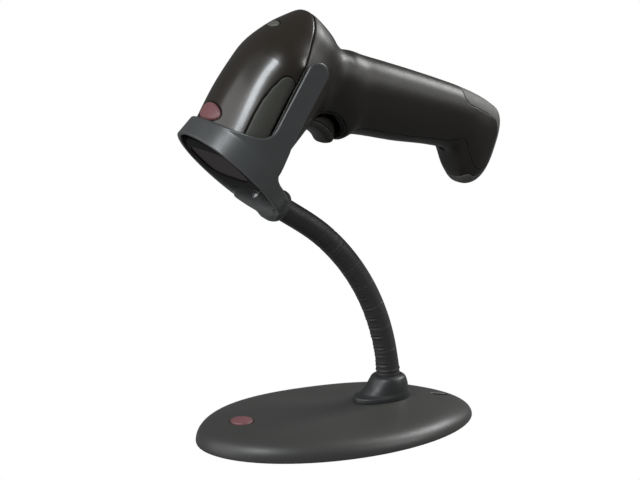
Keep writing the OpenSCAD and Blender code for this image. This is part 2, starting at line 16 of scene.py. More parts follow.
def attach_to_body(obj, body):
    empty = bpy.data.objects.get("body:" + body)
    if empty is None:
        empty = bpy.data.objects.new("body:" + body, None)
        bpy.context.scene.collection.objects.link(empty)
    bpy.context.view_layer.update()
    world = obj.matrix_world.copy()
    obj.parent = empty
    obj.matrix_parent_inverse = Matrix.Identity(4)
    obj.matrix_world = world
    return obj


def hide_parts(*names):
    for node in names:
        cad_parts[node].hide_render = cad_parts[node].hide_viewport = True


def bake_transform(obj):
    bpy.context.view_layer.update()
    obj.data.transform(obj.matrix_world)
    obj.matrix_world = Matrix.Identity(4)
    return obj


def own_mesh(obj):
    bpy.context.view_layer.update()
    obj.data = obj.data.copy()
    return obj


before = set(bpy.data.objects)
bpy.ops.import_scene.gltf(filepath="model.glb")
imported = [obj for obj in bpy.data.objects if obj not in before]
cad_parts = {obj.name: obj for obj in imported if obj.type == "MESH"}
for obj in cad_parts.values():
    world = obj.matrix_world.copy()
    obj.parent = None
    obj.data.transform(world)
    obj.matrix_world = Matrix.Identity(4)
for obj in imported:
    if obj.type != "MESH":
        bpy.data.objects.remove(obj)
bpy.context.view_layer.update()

MM = 0.001
VOXEL = 0.35     # grid step of the large shells
FINE = 0.25      # grid step of the small pieces

# ---------------------------------------------------------------- driving dimensions
BASE_LENGTH, BASE_WIDTH, BASE_HEIGHT = 150.0, 97.0, 9.6
NECK_X = 30.0
BEND_RADIUS = 111.4
ARC_X, ARC_Z = NECK_X - BEND_RADIUS, 15.0
FIRST_JOINT, JOINT_STEP, JOINTS = 8.25, 6.5, 8
SLEEVE_R = 5.7
NOSE = (-61.0, 0.0, 131.0)
TILT = math.radians(45)
MOUTH = (10.0, -33.7)                   # mouth of the cradle's socket, in the scanner frame
RING_R, RING_WALL, RING_Z, RING_DEPTH = 30.2, 2.0, 0.3, 11.0
LEAN = math.radians(24.5)
HANDLE_ROOT = (69.0, -7.0)
WALL = 2.0
SHELL_FRONT = 6.0
HEAD_END = 85.6
HANDLE_END = 102.8
SEAM_Z, SEAM_SLOPE = 3.4, 0.22
PIVOT = (18.0, -9.0)
TRIGGER = (25.2, 2.5)
TRIGGER_R, TRIGGER_HALF = 8.4, 9.3
POCKET_R = TRIGGER_R + 1.5

# Head: place x, top z, bottom z, half width
HEAD_ROWS = [[3.3, 25, -9.5, 27.4], [12, 27.4, -10, 27.8], [30, 32, -11, 27.4],
             [46, 34.4, -11.5, 26], [58, 34.6, -10.6, 25.5], [70, 32.2, -8.4, 20.3],
             [78, 29, -5.4, 16.3], [83.4, 26.3, 1, 10.4], [85.8, 23.8, 8, 5.6]]
# Handle: place down the handle, back, front, half width
HANDLE_ROWS = [[-8, 13, 18, 16.5], [6, 17.2, 20, 17.2], [13.5, 17.5, 25.5, 17.1],
               [19, 17.8, 21.4, 16.9], [26, 18.3, 19.6, 16.8],
               [45, 19.4, 16.8, 16.2], [68, 20.2, 12.5, 15.6], [78, 20, 12.6, 15.4],
               [86, 19.4, 21.4, 15.2], [92.5, 18.3, 25.4, 14.6], [99, 16, 22, 12.4],
               [103, 10, 13, 8]]

# ---------------------------------------------------------------- frames
STAND = Matrix.Scale(MM, 4)
SCANNER = STAND @ Matrix.Translation(NOSE) @ Matrix.Rotation(-TILT, 4, "Y")
HANDLE = (SCANNER @ Matrix.Translation((HANDLE_ROOT[0], 0, HANDLE_ROOT[1]))
          @ Matrix.Rotation(math.pi - LEAN, 4, "Y"))


# ---------------------------------------------------------------- field helpers
def smooth(a, b, v):
    t = np.clip((v - a) / (b - a), 0, 1)
    return t * t * (3 - 2 * t)


def hermite(u, p, q, mp, mq):
    """A smooth curve from p to q as u goes from 0 to 1, with slopes mp and mq at its ends."""
    return ((2 * u**3 - 3 * u**2 + 1) * p + (u**3 - 2 * u**2 + u) * mp
            + (3 * u**2 - 2 * u**3) * q + (u**3 - u**2) * mq)


def rows_at(rows, place):
    """The columns of the rows at the given places, on a smooth curve through the rows."""
    rows = np.array(rows, float)
    last = len(rows) - 1
    s = np.clip(place, rows[0, 0], rows[last, 0])
    here = np.arange(last + 1)
    before, after = np.maximum(here - 1, 0), np.minimum(here + 1, last)
    slopes = (rows[after] - rows[before]) / (rows[after, :1] - rows[before, :1])
    i = np.clip(np.searchsorted(rows[:, 0], s, side="right") - 1, 0, last - 1)
    h = rows[i + 1, 0] - rows[i, 0]
    u = (s - rows[i, 0]) / h
    columns = []
    for c in range(1, rows.shape[1]):
        curve = hermite(u, rows[i, c], rows[i + 1, c], slopes[i, c] * h, slopes[i + 1, c] * h)
        columns.append(curve.astype(np.float32))
    return columns


def smax(a, b, r):
    """Intersection of two fields with a rounded edge."""
    h = np.maximum(r - np.abs(a - b), 0) / r
    return np.maximum(a, b) + h * h * (r / 4)


def smin(a, b, r):
    """Union of two fields with a fillet."""
    return -smax(-a, -b, r)


def superellipse(u, v, power):
    return (np.abs(u) ** power + np.abs(v) ** power) ** (1 / power) - 1


def polygon(points, x, z):
    """Signed distance in a plane to a closed outline."""
    best = np.full(np.broadcast(x, z).shape, 1e9, np.float32)
    inside = np.zeros(best.shape, bool)
    for (ax, az), (bx, bz) in zip(points, points[1:] + points[:1]):
        ex, ez = bx - ax, bz - az
        t = np.clip(((x - ax) * ex + (z - az) * ez) / (ex * ex + ez * ez + 1e-9), 0, 1)
        best = np.minimum(best, np.hypot(x - ax - t * ex, z - az - t * ez))
        crossing = (az > z) != (bz > z)
        inside ^= crossing & (x < ex * (z - az) / (ez if ez else 1e-9) + ax)
    return np.where(inside, -best, best).astype(np.float32)


def tapered(x, z, a, ra, b, rb):
    """Signed distance in a plane to the hull of two circles."""
    length = math.hypot(b[0] - a[0], b[1] - a[1])
    ux, uz = (b[0] - a[0]) / length, (b[1] - a[1]) / length
    along = (x - a[0]) * ux + (z - a[1]) * uz
    across = np.abs(-(x - a[0]) * uz + (z - a[1]) * ux)
    k = (ra - rb) / length
    t = along - across * k / math.sqrt(1 - k * k)
    first = np.hypot(along, across) - ra
    last = np.hypot(along - length, across) - rb
    middle = across * math.sqrt(1 - k * k) + along * k - ra
    return np.where(t < 0, first, np.where(t > length, last, middle)).astype(np.float32)


class Space:
    """A grid over the half y >= 0 of a shape symmetric about y = 0, in a local frame in mm."""

    def __init__(self, place, x_range, half_width, z_range, step):
        self.place, self.step, self.low = place, step, (x_range[0], z_range[0])
        self.x = self.axis(x_range[0], x_range[1]).reshape(-1, 1, 1)
        self.y = self.axis(0, half_width).reshape(1, -1, 1)
        self.z = self.axis(z_range[0], z_range[1]).reshape(1, 1, -1)
        self.shape = (self.x.size, self.y.size, self.z.size)

    def axis(self, a, b):
        return (a + self.step * np.arange(int((b - a) / self.step) + 1)).astype(np.float32)

    def distance(self, g, reach=9.0):
        """Scales a field so that near its zero it measures the distance in mm. reach caps the
        slope along x against the slope across it, where a shape narrows quickly along x."""
        g = np.broadcast_to(g, self.shape).astype(np.float32)
        dx, dy, dz = np.gradient(g, self.step)
        across = dy * dy + dz * dz
        slope = np.sqrt(across + np.minimum(dx * dx, reach * across + 1e-6))
        return g / np.maximum(slope, 1e-3)

    def solid(self, name, field, side=0):
        """A closed mesh where the field is negative. side keeps the half with that sign of y."""
        band = 3 * self.step
        field = np.clip(np.broadcast_to(field, self.shape), -band, band)
        keep = field < band
        spans = []
        for axis in range(3):
            used = np.flatnonzero(keep.any(axis=tuple(a for a in range(3) if a != axis)))
            spans.append((max(used[0] - 2, 0), used[-1] + 3))
        spans[1] = (0, spans[1][1])
        field = field[tuple(slice(a, b) for a, b in spans)]
        mirrored = field[:, :0:-1]
        if side:
            field, mirrored = (field, np.full_like(mirrored, band)) if side > 0 \
                else (np.full_like(field, band), mirrored)
        whole = np.ascontiguousarray(np.concatenate([mirrored, field], axis=1))
        low = (self.low[0] + self.step * spans[0][0], -self.step * mirrored.shape[1],
               self.low[1] + self.step * spans[2][0])
        volume = openvdb.FloatGrid(band)
        volume.copyFromArray(whole)
        points, quads = volume.convertToQuads(0.0)
        return mesh_object(name, points * self.step + np.array(low), quads, self.place)


def mesh_object(name, points, quads, place):
    """An object from local points and quads, smooth-shaded, with its normals outwards."""
    m = np.array(place)
    points = points @ m[:3, :3].T + m[:3, 3]
    corner = points[quads]
    volume = np.einsum("ij,ij->i", corner[:, 0], np.cross(corner[:, 1], corner[:, 2])
                       + np.cross(corner[:, 2], corner[:, 3])).sum()
    if volume < 0:
        quads = quads[:, ::-1]
    mesh = bpy.data.meshes.new(name)
    mesh.vertices.add(len(points))
    mesh.vertices.foreach_set("co", points.astype(np.float32).ravel())
    mesh.loops.add(quads.size)
    mesh.loops.foreach_set("vertex_index", quads.astype(np.int32).ravel())
    mesh.polygons.add(len(quads))
    mesh.polygons.foreach_set("loop_start", np.arange(0, quads.size, 4, dtype=np.int32))
    mesh.update(calc_edges=True)
    mesh.shade_smooth()
    obj = bpy.data.objects.new(name, mesh)
    bpy.context.scene.collection.objects.link(obj)
    return obj


def tube(rings, closed_ends=True):
    """Points and quads of a skin over equal rings; the end rings join up if not closed."""
    count = len(rings[0])
    i, j = np.meshgrid(np.arange(len(rings) - 1), np.arange(count), indexing="ij")
    k = (j + 1) % count
    quads = np.stack([i * count + j, i * count + k, (i + 1) * count + k, (i + 1) * count + j], -1)
    if not closed_ends:
        last = (len(rings) - 1) * count
        j = np.arange(count)
        k = (j + 1) % count
        join = np.stack([last + j, last + k, k, j], -1)
        return np.concatenate(rings), np.concatenate([quads.reshape(-1, 4), join])
    return np.concatenate(rings), quads.reshape(-1, 4)


def attach(obj, body, material, slot, *nodes):
    """The piece rides on a body, wears a material and stands for CAD nodes."""
    obj.data.materials.append(material)
    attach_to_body(obj, body)
    for node in nodes:
        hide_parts(node)


# ---------------------------------------------------------------- materials
def moulded(name, color, rough, grain=0.3, depth=0.25, mottle=0.08, edge=0.0, coat=0.0,
            metallic=0.0, clear=0.0, shine=0.5):
    """Moulded or machined surface: fine grain, uneven sheen, slight colour drift, worn edges.
    grain is the size of the texture in mm and depth its strength."""
    material = bpy.data.materials.new(name)
    material.use_nodes = True
    nodes, links = material.node_tree.nodes, material.node_tree.links
    shader = nodes["Principled BSDF"]
    shader.inputs["Metallic"].default_value = metallic
    shader.inputs["Coat Weight"].default_value = coat
    shader.inputs["Coat Roughness"].default_value = 0.12
    shader.inputs["Transmission Weight"].default_value = clear
    shader.inputs["Specular IOR Level"].default_value = shine
    place = nodes.new("ShaderNodeTexCoord")

    def noise(size_mm, detail):
        node = nodes.new("ShaderNodeTexNoise")
        node.inputs["Scale"].default_value = 1 / (size_mm * MM)
        node.inputs["Detail"].default_value = detail
        links.new(place.outputs["Object"], node.inputs["Vector"])
        return node.outputs["Fac"]

    def spread(value, low, high):
        node = nodes.new("ShaderNodeMapRange")
        node.inputs["From Min"].default_value = 0.3
        node.inputs["From Max"].default_value = 0.7
        node.inputs["To Min"].default_value = low
        node.inputs["To Max"].default_value = high
        links.new(value, node.inputs["Value"])
        return node.outputs["Result"]

    tint = nodes.new("ShaderNodeMix")
    tint.data_type = "RGBA"
    tint.inputs["A"].default_value = (*[c * (1 - mottle) for c in color], 1)
    tint.inputs["B"].default_value = (*[c * (1 + mottle) for c in color], 1)
    links.new(noise(9, 4), tint.inputs["Factor"])
    surface = tint.outputs["Result"]
    if edge:
        shape = nodes.new("ShaderNodeNewGeometry")
        ramp = nodes.new("ShaderNodeValToRGB")
        ramp.color_ramp.elements[0].position = 0.52
        ramp.color_ramp.elements[1].position = 0.62
        ramp.color_ramp.elements[1].color = (edge, edge, edge, 1)
        worn = nodes.new("ShaderNodeMix")
        worn.data_type = "RGBA"
        worn.inputs["B"].default_value = (*[min(c * 3 + 0.03, 1) for c in color], 1)
        links.new(shape.outputs["Pointiness"], ramp.inputs["Fac"])
        links.new(ramp.outputs["Color"], worn.inputs["Factor"])
        links.new(surface, worn.inputs["A"])
        surface = worn.outputs["Result"]
    links.new(surface, shader.inputs["Base Color"])
    links.new(spread(noise(4, 5), rough * 0.95, rough * 1.05), shader.inputs["Roughness"])
    bump = nodes.new("ShaderNodeBump")
    bump.inputs["Strength"].default_value = depth
    bump.inputs["Distance"].default_value = 0.03 * MM
    links.new(noise(grain, 3), bump.inputs["Height"])
    links.new(bump.outputs["Normal"], shader.inputs["Normal"])
    return material


GLOSS = moulded("head_gloss", (0.020, 0.016, 0.012), 0.30, grain=0.5, depth=0.05, coat=0.25)
GRIP = moulded("grip_satin", (0.012, 0.010, 0.007), 0.42, grain=0.22, depth=0.5, shine=0.4)
CAP = moulded("cap_rubber", (0.090, 0.089, 0.083), 0.62, grain=0.18, depth=0.8, edge=0.25)
PAD = moulded("side_pad", (0.034, 0.035, 0.027), 0.60, grain=0.2, depth=0.7, edge=0.15)
TRIGGER_MAT = moulded("trigger_satin", (0.036, 0.034, 0.029), 0.46, grain=0.2, depth=0.5, edge=0.2)
BEZEL = moulded("bezel_black", (0.005, 0.005, 0.005), 0.50, grain=0.2, depth=0.4, shine=0.04)
CRADLE = moulded("cradle_satin", (0.058, 0.061, 0.061), 0.34, grain=0.25, depth=0.45, edge=0.3)
COVER = moulded("base_satin", (0.044, 0.044, 0.041), 0.42, grain=0.28, depth=0.8, mottle=0.04,
                edge=0.15)
BOOT = moulded("boot_satin", (0.026, 0.028, 0.028), 0.44, grain=0.3, depth=0.4, edge=0.15)
RUBBER = moulded("sleeve_rubber", (0.028, 0.028, 0.026), 0.50, grain=0.35, depth=0.7, mottle=0.15,
                 edge=0.25)
BADGE = moulded("badge_resin", (0.17, 0.07, 0.075), 0.45, grain=0.8, depth=0.1, mottle=0.3)
# Status light lens: its pale grey is a painted highlight; the real lens is dark, with a crescent
# highlight on its dome
STATUS_LENS_PAINTED_HIGHLIGHT = moulded("light_lens_painted_highlight", (0.10, 0.098, 0.085), 0.45, grain=0.8, depth=0.1)
STEEL = moulded("screw_steel", (0.55, 0.55, 0.56), 0.34, grain=0.3, depth=0.2, metallic=1)
DARK_STEEL = moulded("neck_steel", (0.30, 0.30, 0.31), 0.42, grain=0.3, depth=0.3, metallic=1)
IRON = moulded("ballast_iron", (0.16, 0.16, 0.165), 0.62, grain=0.9, depth=0.9, metallic=0.6)
PAD_RUBBER = moulded("desk_pad", (0.018, 0.018, 0.018), 0.8, grain=0.5, depth=1.0)
GLASS = moulded("window_red", (0.012, 0.002, 0.002), 0.25, grain=2.0, depth=0.02, shine=0.03)
LENS = moulded("lens_glass", (0.80, 0.88, 0.95), 0.03, grain=2.0, depth=0.02, clear=0.9)
MIRROR = moulded("mirror_face", (0.86, 0.88, 0.90), 0.05, grain=2.0, depth=0.02, metallic=1)
BOARD = moulded("board_laminate", (0.015, 0.115, 0.045), 0.40, grain=0.6, depth=0.5, mottle=0.2)
PART_BLACK = moulded("part_black", (0.012, 0.012, 0.013), 0.5, grain=0.25, depth=0.5)
CHASSIS = moulded("chassis_cast", (0.30, 0.31, 0.33), 0.5, grain=0.5, depth=0.7, metallic=0.9)
BRASS = moulded("laser_brass", (0.62, 0.42, 0.14), 0.3, grain=0.3, depth=0.2, metallic=1)
COPPER = moulded("coil_copper", (0.50, 0.17, 0.06), 0.3, grain=0.35, depth=0.8, metallic=0.8)
PLUNGER = moulded("plunger_red", (0.22, 0.035, 0.02), 0.4, grain=0.3, depth=0.3)
WIRE = moulded("wire_red", (0.14, 0.008, 0.008), 0.4, grain=0.3, depth=0.3)

NODE_MATERIALS = {
    "base_ballast": IRON, "base_pad": PAD_RUBBER, "base_screws": STEEL, "neck_nut": STEEL,
    "scan_window": GLASS, "trigger_pin": STEEL, "switch_body": PART_BLACK, "main_board": BOARD,
    "cable_jack": PART_BLACK, "beeper": PART_BLACK, "housing_screws": STEEL,
    "engine_chassis": CHASSIS, "engine_board": BOARD, "laser_module": BRASS, "focus_lens": LENS,
    "mirror_coil": COPPER, "photodetector": PART_BLACK, "wire_harness": WIRE,
    "switch_plunger": PLUNGER, "scan_mirror": MIRROR,
    **{f"neck_core_{k}": DARK_STEEL for k in range(JOINTS + 1)}}
for node, material in NODE_MATERIALS.items():
    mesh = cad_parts[node].data
    mesh.materials.clear()
    mesh.materials.append(material)

# ---------------------------------------------------------------- scanner housing
body_space = Space(SCANNER, (1, 134), 30, (-108, 38), VOXEL)
x, y, z = body_space.x, body_space.y, body_space.z


def to_handle(px, pz):
    """Places in the handle frame of points in the scanner frame."""
    dx, dz = px - HANDLE_ROOT[0], pz - HANDLE_ROOT[1]
    return (-dx * math.cos(LEAN) - dz * math.sin(LEAN), dx * math.sin(LEAN) - dz * math.cos(LEAN))


def head_field(space):
    """Distance to the outside of the head, open at both ends."""
    top, bottom, half = rows_at(HEAD_ROWS, space.x)
    waist = bottom + (top - bottom) * np.clip(0.24 + 0.0065 * space.x, 0.26, 0.58)
    upper = space.z >= waist
    height = np.where(upper, top - waist, waist - bottom)
    g = superellipse(space.y / half, (space.z - waist) / height, np.where(upper, 2.05, 2.5))
    return np.maximum(space.distance(g, 3.0), -13.5 - space.z)


def handle_field():
    back, front, half = rows_at(HANDLE_ROWS, t)
    middle, reach = (front - back) / 2, (front + back) / 2
    d = body_space.distance(superellipse((hx - middle) / reach, y / half, 2.6), 99.0)
    return smax(smax(d, t - HANDLE_END, 6), -8 - t, 1)


hx, t = to_handle(x, z)
head = smax(head_field(body_space), x - HEAD_END, 1.6)
handle = handle_field()
body = smin(head, handle, 5)

# The cap wraps the handle's end like a strap; the housing fills a tongue inside it
CAP_BACK, CAP_FRONT, STRAP = 71.0, 88.0, 5.0
places = np.arange(50, 103.1, 1.5)
outline_back, outline_front, _ = rows_at(HANDLE_ROWS, places)
side_outline = ([(float(a), float(b)) for a, b in zip(outline_front, places)]
                + [(-float(a), float(b)) for a, b in zip(outline_back[::-1], places[::-1])])
in_side = polygon(side_outline, hx, t)
cap_start = CAP_BACK + (CAP_FRONT - CAP_BACK) * smooth(-6, 16, hx)
tongue = -smax(-(in_side + STRAP + 3 * smooth(-2, -12, hx)), cap_start - t, 7)

housing = smax(body, tongue, 0.25)
shell = smax(smax(housing, -(housing + WALL), 0.3), SHELL_FRONT - x, 0.6)

# Openings of the trigger, the cable jack and the housing screws
pocket = np.minimum(np.hypot(hx - TRIGGER[0], t - TRIGGER[1]) - POCKET_R,
                    np.maximum(np.abs(y) - 6, np.maximum(np.abs(hx - 20) - 7, np.abs(t + 3) - 5)))
JACK_X = 9.6
jack = np.maximum(np.maximum(np.abs(hx - JACK_X) - 6.3, y - 7.3), 84 - t)
cap_jack = smax(smax(np.abs(hx - JACK_X) - 4.8, y - 5, 1.5), 80 - t, 0.5)
SCREW_PLACES, WELL_R, WELL_DEPTH = (40.0, 76.0), 2.6, 4.0
screws = np.full(body_space.shape, 99.0, np.float32)
for place in SCREW_PLACES:
    front = rows_at(HANDLE_ROWS, np.array(place))[1]
    well = np.maximum(np.hypot(y, t - place) - WELL_R, front - WELL_DEPTH - hx)
    screws = np.minimum(screws, well)
lower = smax(smax(shell, -pocket, 0.4), -np.minimum(jack, screws), 0.5)

above_seam = (z - SEAM_Z - SEAM_SLOPE * x) / math.hypot(1, SEAM_SLOPE)
SEAM_HALF = 0.16                        # half of the gap between the cover and the shells

# Region of the front shell, seen from the side: chin, trigger edge and front of the handle
CHIN = -4.0
front_edge = rows_at(HANDLE_ROWS, t)[1] - STRAP * smooth(70, 82, t) - 4.0
front_region = smin(smin(smax(front_edge - hx, 17 - t, 3),
                         np.hypot(hx - TRIGGER[0], t - TRIGGER[1]) - POCKET_R - 1.2, 3),
                    smax(z - CHIN, x - 46, 4), 5)

# Leaf-shaped inlay on both sides of the head cover
LEAF = [((19.0, 12.7), 4.9), ((28.0, 15.2), 4.9), ((35.0, 16.7), 4.7), ((41.0, 17.4), 4.3),
        ((47.0, 17.6), 3.7)]
leaf = tapered(x, z, *LEAF[0], *LEAF[1])
for one, other in zip(LEAF[1:], LEAF[2:]):
    leaf = np.minimum(leaf, tapered(x, z, *one, *other))
PAD_RECESS = 0.9

# Ovals on the centre line of the cover
BADGE_X, LIGHT_X = 18.0, 69.3


def oval(px, py, a, b):
    r = np.hypot(px / a, py / b)
    return (r - 1) * min(a, b)


badge_oval = oval(x - BADGE_X, y, 4.2, 10.2) + 0 * z
light_oval = oval(x - LIGHT_X, y, 2.3, 5.0) + 0 * z
roof = np.where(z > 15, 0, 99)

cover = smax(shell, SEAM_HALF - above_seam, 0.5)
cover = smax(cover, -smax(leaf - 0.35, -(head + PAD_RECESS), 0.2), 0.5)
cover = smax(cover, -(np.minimum(badge_oval, light_oval) - 0.3 + roof), 0.5)
attach(body_space.solid("head_cover_shell", cover), "scanner", GLOSS, "head_plastic", "head_cover")

PART_HALF = 0.03                        # half of the gap between the front and rear shells
grip = smax(lower, SEAM_HALF + above_seam, 0.5)
rear = smax(grip, PART_HALF - front_region, 0.1)
attach(body_space.solid("rear_housing", rear), "scanner", GRIP, "grip_plastic", "rear_shell")
fore = smax(grip, PART_HALF + front_region, 0.1)
attach(body_space.solid("front_housing", fore), "scanner", GRIP, "grip_plastic", "front_shell")

cap = smax(smax(body, 0.05 - tongue, 0.3), 62 - t, 0.4)
cap = smax(cap, -cap_jack, 0.6)
attach(body_space.solid("end_cap_rubber", cap), "scanner", CAP, "cap_rubber", "end_cap")

pad = smax(smax(leaf, head + 0.12, 0.8), -(head + PAD_RECESS - 0.06), 0.3)
for side, label in ((1, "right"), (-1, "left")):
    attach(body_space.solid(f"side_pad_{label}_inlay", pad, side), "scanner", PAD, "pad_plastic",
           f"side_pad_{label}")

lens = smax(smax(badge_oval + roof, head - 0.35, 1.2), -(head + 1.2), 0.3)
attach(body_space.solid("scanner_badge_lens", lens), "scanner", BADGE, "badge_resin",
       "scanner_badge")
# The status light's lens wears the pale grey with the painted highlight
lens = smax(smax(light_oval + roof, head - 0.3, 1.0), -(head + 1.2), 0.3)
attach(body_space.solid("status_light_lens", lens), "scanner", STATUS_LENS_PAINTED_HIGHLIGHT, "light_plastic",
       "status_light")

WINDOW_HALF, WINDOW_HIGH, WINDOW_Z = 21.0, 10.0, 7.0
nose_space = Space(SCANNER, (1, 9), 30, (-14, 32), FINE)
x, y, z = nose_space.x, nose_space.y, nose_space.z
nose = smax(head_field(nose_space), np.abs(x - 4.6) - 1.3, 1.0)
window = nose_space.distance(superellipse(y / (WINDOW_HALF + 0.05),
                                          (z - WINDOW_Z) / (WINDOW_HIGH + 0.05), 4.0) + 0 * x)
attach(nose_space.solid("nose_bezel_ring", smax(nose, -window, 0.5)), "scanner", BEZEL,
       "bezel_plastic", "nose_bezel")

# ---------------------------------------------------------------- trigger
trigger_space = Space(HANDLE, (11, 30), 11, (-14, 15), FINE)
x, y, z = trigger_space.x, trigger_space.y, trigger_space.z
FINGER_R, FINGER = 13.5, (38.5, -1.5)   # the finger surface is a hollow arc, crowned across
FINGER_BAND = 2.2
disc = smax(np.hypot(x - TRIGGER[0], z - TRIGGER[1]) - TRIGGER_R - 0.3,
            np.hypot(x - 24.5, z - 0.2) - 9.7, 1.5)
crown = 2.1 * (np.abs(y) / 8.5) ** 2.6
finger = FINGER_R - np.hypot(x - FINGER[0] + crown, z - FINGER[1])
outline = smax(disc, finger, 1.8)
panel = smax(outline, y - TRIGGER_HALF + 0.35, 1.6)
band = smax(smax(outline, y - TRIGGER_HALF, 1.2), -(finger + FINGER_BAND), 0.6)
groove = np.maximum(np.abs(finger + FINGER_BAND + 0.25) - 0.25, TRIGGER_HALF - 0.9 - y)
trigger = smax(smin(panel, band, 0.3), -groove, 0.3)
arm = np.minimum(np.hypot(x - PIVOT[0], z - PIVOT[1]) - 2.6,
                 np.maximum(np.abs(x - PIVOT[0]) - 2, np.abs(z - PIVOT[1] - 5.2) - 5.2))
trigger = smin(trigger, smax(arm, y - 5, 0.5), 1.0)
trigger = smax(trigger, 1.55 - np.hypot(x - PIVOT[0], z - PIVOT[1]), 0.2)
attach(trigger_space.solid("trigger_lever", trigger), "trigger", TRIGGER_MAT, "trigger_plastic",
       "trigger")

# ---------------------------------------------------------------- trigger spring
SPRING_T, SPRING_START, SPRING_LENGTH = -1, 3.65, 12.3
SPRING_R, SPRING_WIRE, SPRING_TURNS = 1.8, 0.3, 7


def spring_mesh():
    """A wound spring along x in the handle frame, with closed end turns."""
    count, around = 40 * SPRING_TURNS, 10
    rings = []
    for i in range(count + 1):
        share = i / count
        a = 2 * math.pi * SPRING_TURNS * share
        along = (SPRING_START + SPRING_WIRE
                 + (SPRING_LENGTH - 2 * SPRING_WIRE) * float(smooth(0, 1, share) * 0.3 + share * 0.7))
        out = np.array([0, math.cos(a), math.sin(a)])
        centre = np.array([along, 0, SPRING_T]) + SPRING_R * out
        rings.append([centre + SPRING_WIRE * (math.cos(b) * out + math.sin(b) * np.array([1, 0, 0]))
                      for b in np.linspace(0, 2 * math.pi, around, endpoint=False)])
    for ring, at in ((rings[0], 0), (rings[-1], len(rings))):
        middle = np.mean(ring, axis=0)
        tip = [middle + (p - middle) * 0.02 for p in ring]
        rings.insert(at, tip)
    return tube([np.array(r) for r in rings])


spring = mesh_object("trigger_return_spring", *spring_mesh(), HANDLE)
attach(spring, "scanner", STEEL, "spring_steel", "trigger_spring")
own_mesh(spring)

# ---------------------------------------------------------------- cradle
last_joint = math.radians(FIRST_JOINT + JOINT_STEP * (JOINTS - 1))
link_start = Vector((ARC_X + BEND_RADIUS * math.cos(last_joint), 0,
                     ARC_Z + BEND_RADIUS * math.sin(last_joint)))
start_local = SCANNER.inverted() @ (link_start * MM)
socket_axis = Vector((MOUTH[0] - start_local.x, 0, MOUTH[1] - start_local.z)).normalized()

cradle_space = Space(SCANNER, (-6, 66), 33, (-44, 33), VOXEL)
x, y, z = cradle_space.x, cradle_space.y, cradle_space.z
# The wall is round at the ring and flattens towards the arms
flat = 2 + 5 * smooth(13, 32, x)
barrel = cradle_space.distance(superellipse(y / RING_R, (z - RING_Z) / RING_R, flat))
LIP_DEPTH = 2.4
wall = np.where(x < LIP_DEPTH, 1.0 + 2.9 * smooth(0.5, 2.0, x), RING_WALL)
skin = smax(barrel, -(barrel + wall), 0.5)
skin = smax(skin, smax(0.2 - head_field(cradle_space), 2.8 - x, 0.3), 0.3)

ARM_TIP, ARM_HALF = (59.5, 11.4), 5.5
ARM_SLOPE = math.tan(math.radians(13.2))
arm_root = (14.0, ARM_TIP[1] - ARM_SLOPE * (ARM_TIP[0] - 14.0))
RIM_SWELL = 3.6                         # the front rim swells forwards at the sides
rim = [(-RIM_SWELL * (1 - (a / 30)**2), float(a)) for a in range(-30, 31, 3)]
ring_side = polygon([(0, -40), *rim, (0, 40), (RING_DEPTH + 1.7, 40), (RING_DEPTH + 2, 30),
                     (RING_DEPTH + 4, 23), (RING_DEPTH + 6.6, 16.2), (RING_DEPTH + 8.1, 13.1),
                     (RING_DEPTH + 9.4, 10), (RING_DEPTH + 10, 0), (RING_DEPTH, -5.2),
                     (RING_DEPTH, -40)], x, z)
arm_side = tapered(x, z, arm_root, ARM_HALF + 0.01, ARM_TIP, ARM_HALF)
side = smin(ring_side, arm_side, 8.0)
cradle = smax(skin, side, 1.0)

along = (x - MOUTH[0]) * socket_axis.x + (z - MOUTH[1]) * socket_axis.z
across = (x - MOUTH[0]) * socket_axis.z - (z - MOUTH[1]) * socket_axis.x
radial = np.hypot(across, y)
SOCKET_R, SOCKET_GROWTH = 7.9, 0.06
socket = smax(smax(radial - SOCKET_R - SOCKET_GROWTH * along, -along, 3.4), along - 9, 1.0)
socket = smax(socket, -(barrel + RING_WALL), 0.5)
inner_boss = smax(radial - 5.6, np.maximum(along - 16, 4 - along), 0.8)
heel = smax(smax(barrel + RING_WALL - 0.4, z + 18.6, 1.2), np.abs(x - 6.6) - 5.0, 1.2)
cradle = smin(smin(cradle, socket, 4.0), smin(inner_boss, heel, 1.0), 0.6)
bore = np.minimum(np.maximum(radial - SLEEVE_R - 0.08, along - 2.6),
                  np.minimum(np.maximum(radial - 4.3, along - 13.2), radial - 1.7))
cradle = smax(cradle, -bore, 0.4)
attach(cradle_space.solid("cradle_ring_and_arms", cradle), "cradle", CRADLE, "cradle_plastic",
       "cradle")

# Screw on the socket's axis, with a cross recess
SOCKET = (SCANNER @ Matrix.Translation((MOUTH[0], 0, MOUTH[1]))
          @ Matrix.Rotation(math.atan2(socket_axis.x, socket_axis.z), 4, "Y"))
screw_space = Space(SOCKET, (-4, 4), 4, (4, 19), 0.12)
x, y, z = screw_space.x, screw_space.y, screw_space.z
radial = np.hypot(x, y)
stem = smax(radial - 1.5, np.abs(z - 10.5) - 5.5, 0.2)
screw_head = smax(smax(radial - 3, 16.02 - z, 0.1), np.hypot(radial, z - 12.4) - 5.4, 0.5)
cross = np.maximum(np.minimum(np.maximum(np.abs(x) - 0.4, y - 1.7),
                              np.maximum(y - 0.4, np.abs(x) - 1.7)), 16.9 - z)
screw = smax(np.minimum(stem, screw_head), -cross, 0.1)
attach(screw_space.solid("cradle_screw_cross", screw), "cradle", DARK_STEEL, "screw_steel",
       "cradle_screw")

# ---------------------------------------------------------------- base
base_space = Space(STAND, (-79, 79), 51, (-1, 14), VOXEL)
x, y, z = base_space.x, base_space.y, base_space.z
A, B = BASE_LENGTH / 2, BASE_WIDTH / 2


def cover_top(px):
    return (BASE_HEIGHT + 3.0 * smooth(NECK_X - 14, -A, px) - 2.4 * smooth(NECK_X + 8, A, px))


